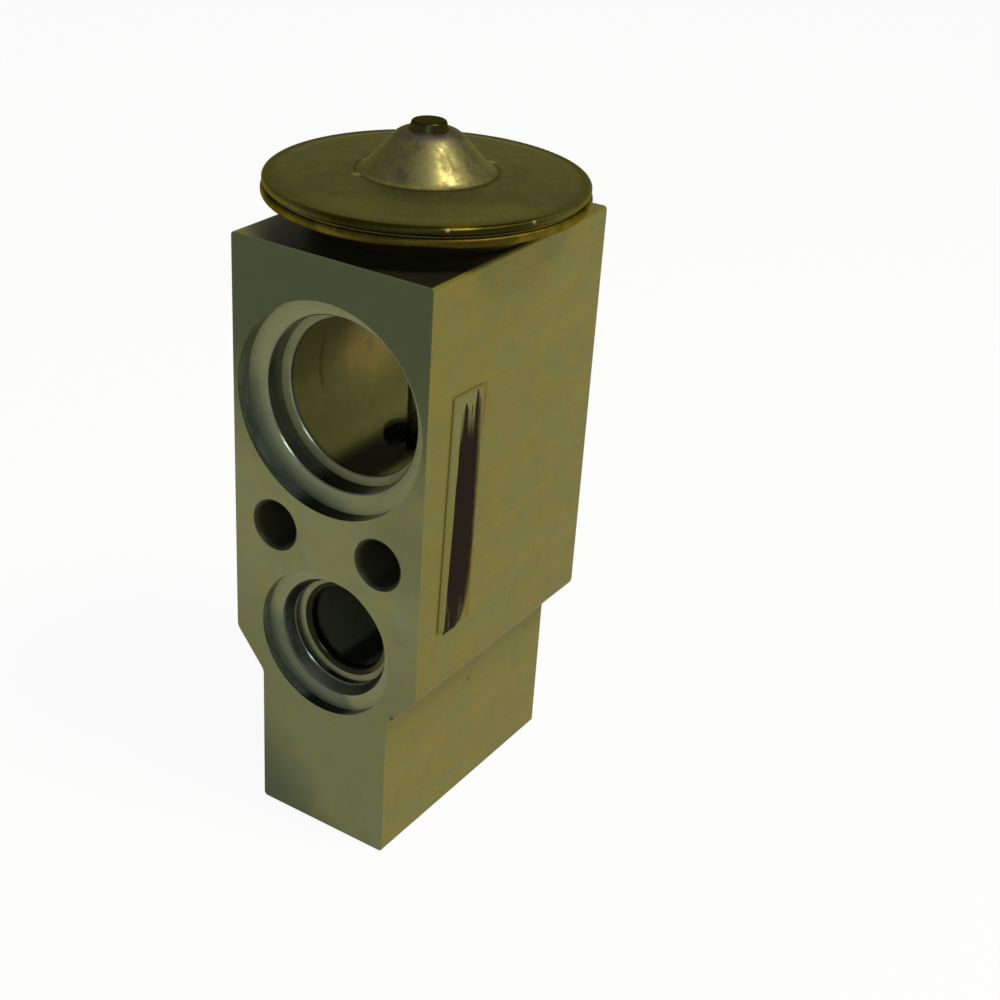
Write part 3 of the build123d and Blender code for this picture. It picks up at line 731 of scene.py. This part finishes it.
def housing_steel():
    """Pressed stainless covers, turned brown at the welded rim, with painted shade, a painted
    reflection and a painted highlight on the rim, and blued round the plug.
    """
    material, w, shader = finish("housing_steel")
    shader.inputs["Specular Tint"].default_value = COVER_GLANCE
    at = HousingPlaces(w)
    grain = w.use(FINE_GRAIN, Place=at.vector, Scale=2600.0, Contrast=0.20)
    clouds = w.use(FINE_GRAIN, Place=at.vector, Scale=330.0, Contrast=0.24)["Shade"]
    rings = w.use(
        TURNED_RINGS, Place=at.vector, Travel=at.reach, Feed=0.45 * MM, Contrast=0.04)
    turn = w.times(w.angle(at.x, at.y), 0.012)
    radial = w.wire(
        "ShaderNodeCombineXYZ", 0, {0: turn, 1: w.times(at.reach, 0.10), 2: w.times(at.z, 0.4)})
    drawn = w.use(DRAWN_LINES, Place=radial, Scale=2200.0, Contrast=0.08)
    shelter = w.ramp_mm(at.reach, 9.0, 7.6)
    stains = w.use(GRIME, Place=at.vector, Shelter=shelter, Scale=420.0, Amount=0.22)["Mask"]

    colour = rim_colour(w, at, cover_colour(w, at))
    colour = w.shade(colour, w.times(grain["Shade"], clouds))
    colour = w.shade(colour, w.times(rings["Shade"], drawn["Shade"]))
    colour = heat_marks(w, at, colour)
    colour = w.paint(colour, STAIN_BROWN, stains)
    colour = pale_marks(w, at, colour)

    buffed = w.minus(w.noise(at.vector, 620.0, 4.0, 0.65), 0.56)
    roughness = w.sum(
        w.blend(at.on_dome, 0.45, 0.50), w.times(w.centred(grain["Height"]), 0.20),
        w.times(stains, 0.25), w.times(at.on_dome, buffed, 0.9),
    )
    surface(w, shader, colour, roughness, grain["Height"], 0.004 * MM, 0.5)
    return material


# ---- Small pieces and the label -----------------------------------------------------------
def plain_metal(name, colour, roughness, scale=2400.0, contrast=0.18, glance=WHITE):
    """Metal with a fine grain, faint turning lines up its axis and a little dirt."""
    material, w, shader = finish(name)
    shader.inputs["Specular Tint"].default_value = glance
    place, x, y, z = w.place()
    grain = w.use(FINE_GRAIN, Place=place, Scale=scale, Contrast=contrast)
    travel = w.sum(z, w.radius(x, y))
    lines = w.use(TURNED_RINGS, Place=place, Travel=travel, Feed=0.10 * MM, Contrast=0.10)
    dirt = w.use(GRIME, Place=place, Shelter=0.0, Scale=500.0, Amount=0.3)["Mask"]
    colour = w.shade(w.shade(colour, grain["Shade"]), lines["Shade"])
    colour = w.paint(colour, METAL_DIRT, dirt)
    roughness = w.sum(
        roughness, w.times(w.centred(grain["Height"]), 0.2), w.times(dirt, 0.3))
    surface(w, shader, colour, roughness, lines["Height"], 0.003 * MM, 0.25)
    return material


def soft_seal(name, colour, roughness):
    """Moulded rubber or plastic with a fine matt skin and pale dust."""
    material, w, shader = finish(name, metallic=0.0)
    place = w.place()[0]
    grain = w.use(FINE_GRAIN, Place=place, Scale=3000.0, Contrast=0.25)
    dust = w.use(GRIME, Place=place, Shelter=0.0, Scale=700.0, Amount=0.25)["Mask"]
    colour = w.paint(w.shade(colour, grain["Shade"]), SEAL_DUST, dust)
    roughness = w.sum(roughness, w.times(dust, 0.2))
    surface(w, shader, colour, roughness, grain["Height"], 0.004 * MM, 0.5)
    return material


def label_film():
    """Narrow pale label, darker round its edge, yellow with glue in a band and struck through
    with marker.
    """
    material, w, shader = finish("label_film", metallic=0.0)
    shader.inputs["Specular IOR Level"].default_value = 0.02
    shader.inputs["Specular Tint"].default_value = LABEL_GLANCE
    place, _, y, z = w.place()
    grain = w.use(FINE_GRAIN, Place=place, Scale=1800.0, Contrast=0.12)
    across, along = label_frame(w, y, z)
    side_gap = w.minus(LABEL_HALF_WIDTH, w.math("ABSOLUTE", across))
    end_gap = w.minus(LABEL_HALF_HEIGHT, w.math("ABSOLUTE", along))
    ragged = w.times(w.centred(w.noise(place, 900.0)), 0.3 * MM)
    rim = w.ramp_mm(w.sum(w.lowest(side_gap, end_gap), ragged), 0.75, 0.05)
    glue = w.times(w.ramp_mm(across, 1.6, 2.9), w.ramp(w.noise(place, 260.0), 0.42, 0.60))
    ink = w.use(MARKER_INK, Place=place)

    colour = w.tint(w.ramp_mm(z, 59, 44), LABEL_HIGH, LABEL_LOW)
    colour = w.shade(colour, grain["Shade"])
    colour = w.paint(colour, LABEL_RIM, rim, 0.6)
    colour = w.paint(colour, LABEL_GLUE, glue, 0.8)
    colour = w.paint(colour, w.tint(ink["Streaks"], INK_DARK, INK_PALE), ink["Cover"])
    roughness = w.blend(ink["Cover"], 0.55, 0.42)
    surface(w, shader, colour, roughness, grain["Height"], 0.003 * MM, 0.4)
    return material


ALUMINIUM = block_aluminium()
HOUSING = housing_steel()
PLUG = plain_metal(
    "dark_plug", PLUG_DARK, roughness=0.34, scale=2600.0, contrast=0.35, glance=PLUG_GLANCE)
# The grey of the rod and the small steel parts is darkened as painted shade; they sit inside the
# body.
ROD = plain_metal("rod_steel", ROD_GREY_SHADED, roughness=0.26)
SPRING = plain_metal("spring_steel", SPRING_GREY, roughness=0.32)
BRASS = plain_metal("screw_brass", BRASS_YELLOW, roughness=0.30)
RUBBER = soft_seal("seal_rubber", RUBBER_BLACK, roughness=0.55)
BACKUP = soft_seal("backup_plastic", BACKUP_CREAM, roughness=0.50)
LABEL = label_film()

for node, material in {
    "valve_body": ALUMINIUM, "upper_cover": HOUSING, "lower_cover": HOUSING,
    "diaphragm": HOUSING, "charge_plug": PLUG, "push_rod": ROD, "pressure_pad": ROD,
    "valve_ball": ROD, "ball_holder": ROD, "spring_seat": ROD, "superheat_spring": SPRING,
    "seal_retainer": SPRING, "adjusting_screw": BRASS, "rod_seal": RUBBER,
    "element_seal_ring": RUBBER, "adjuster_seal_ring": RUBBER, "seal_backup_washer": BACKUP,
    "label": LABEL,
}.items():
    slots = NODES[node].material_slots
    if slots:
        for each in slots:
            each.material = material
    else:
        NODES[node].data.materials.append(material)


# ---- Spring between the ball and the screw, cut into two halves --------------------------
SAME_PLACE = 0.001 * MM
HELD_END = 0.25 * MM


def spring_half(name, middle, tip):
    """Half of the spring, cut through its middle and closed where it was cut; tip tells which
    half stays.
    """
    half = bpy.data.objects.new(name, NODES["superheat_spring"].data.copy())
    bpy.context.scene.collection.objects.link(half)
    outward = 1 if tip > middle else -1
    mesh = bmesh.new()
    mesh.from_mesh(half.data)
    bmesh.ops.remove_doubles(mesh, verts=mesh.verts[:], dist=SAME_PLACE)
    cut = bmesh.ops.bisect_plane(
        mesh, geom=mesh.verts[:] + mesh.edges[:] + mesh.faces[:],
        plane_co=(0, 0, middle), plane_no=(0, 0, -outward), clear_outer=True,
    )
    cut_edges = [each for each in cut["geom_cut"] if isinstance(each, bmesh.types.BMEdge)]
    bmesh.ops.holes_fill(mesh, edges=cut_edges, sides=0)
    bmesh.ops.triangulate(mesh, faces=mesh.faces[:])
    mesh.to_mesh(half.data)
    mesh.free()
    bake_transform(half)
    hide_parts("superheat_spring")


spring_low, spring_high = (corner[2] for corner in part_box("superheat_spring"))
spring_middle = (spring_low + spring_high) / 2
spring_half("spring_upper_half", spring_middle, spring_high - HELD_END)
spring_half("spring_lower_half", spring_middle, spring_low + HELD_END)


# ---- Floor, light and camera -------------------------------------------------------------
FLOOR_WIDTH, FLOOR_DROP = 6.0, 0.02 * MM
SEEN_WHITE = 0.93
HORIZON_LIGHT, OVERHEAD_LIGHT = 1.0, 0.34
LAMP_AIM = point(0.0, 0.0, 45)
CAMERA_PLACE = point(106.3, -156.0, 140.8)
CAMERA_RIGHT, CAMERA_BACK = (0.8166, 0.5759, 0.0384), (0.4870, -0.7230, 0.4900)


def make_floor():
    """Paper floor, white where it is seen straight or in a reflection."""
    bpy.ops.mesh.primitive_plane_add(size=FLOOR_WIDTH, location=(0.0, 0.0, -FLOOR_DROP))
    floor = bpy.context.object
    floor.name = "floor"
    material = bpy.data.materials.new("floor_paper")
    material.use_nodes = True
    material.node_tree.nodes.clear()
    w = Wiring(material.node_tree)
    paper = w.add("ShaderNodeBsdfDiffuse")
    w.feed(paper, "Color", FLOOR_GREY)
    glow = w.add("ShaderNodeEmission")
    mixed = w.add("ShaderNodeMixShader")
    path = w.add("ShaderNodeLightPath").outputs
    reflected = w.highest(path["Is Glossy Ray"], path["Is Transmission Ray"])
    w.feed(mixed, 0, w.times(w.highest(path["Is Camera Ray"], reflected), SEEN_WHITE))
    w.feed(mixed, 1, paper.outputs[0])
    w.feed(mixed, 2, glow.outputs[0])
    w.feed(w.add("ShaderNodeOutputMaterial"), "Surface", mixed.outputs[0])
    floor.data.materials.append(material)


def make_world():
    """Studio that is white down at the horizon and dimmer overhead."""
    world = bpy.data.worlds.new("studio")
    world.use_nodes = True
    world.node_tree.nodes.clear()
    w = Wiring(world.node_tree)
    lift = w.split(w.add("ShaderNodeTexCoord").outputs["Generated"])[2]
    background = w.add("ShaderNodeBackground")
    w.feed(background, "Color", WHITE)
    overhead = w.ramp(lift, 0.02, 0.30)
    w.feed(background, "Strength", w.blend(overhead, HORIZON_LIGHT, OVERHEAD_LIGHT))
    w.feed(w.add("ShaderNodeOutputWorld"), "Surface", background.outputs[0])
    bpy.context.scene.world = world


def soft_lamp(name, direction, distance, size, power, colour):
    """Square area lamp that looks at the middle of the valve."""
    data = bpy.data.lights.new(name, "AREA")
    data.shape = "SQUARE"
    data.size, data.energy, data.color = size, power, colour
    lamp = bpy.data.objects.new(name, data)
    lamp.location = LAMP_AIM + Vector(direction).normalized() * distance
    lamp.rotation_euler = (lamp.location - LAMP_AIM).to_track_quat("Z", "Y").to_euler()
    bpy.context.scene.collection.objects.link(lamp)


def make_camera():
    data = bpy.data.cameras.new("camera")
    data.sensor_width, data.lens = 36.0, 60.16
    data.shift_x, data.shift_y = 0.08, 0.04
    data.clip_start, data.clip_end = 0.01, 20.0
    camera = bpy.data.objects.new("camera", data)
    right = Vector(CAMERA_RIGHT).normalized()
    up = Vector(CAMERA_BACK).normalized().cross(right).normalized()
    back = right.cross(up).normalized()
    turn = Matrix((right, up, back)).transposed().to_4x4()
    camera.matrix_world = Matrix.Translation(CAMERA_PLACE) @ turn
    bpy.context.scene.collection.objects.link(camera)
    bpy.context.scene.camera = camera


make_floor()
make_world()
soft_lamp(
    "key_lamp", (0.47, 0.06, 0.88), distance=0.60, size=0.14, power=2.5,
    colour=(1.0, 0.90, 0.68))
soft_lamp(
    "fill_lamp", (0.42, -0.74, 0.53), distance=0.70, size=0.12, power=0.9,
    colour=(0.72, 0.90, 1.0))
make_camera()
bpy.context.scene.view_settings.view_transform = "Standard"
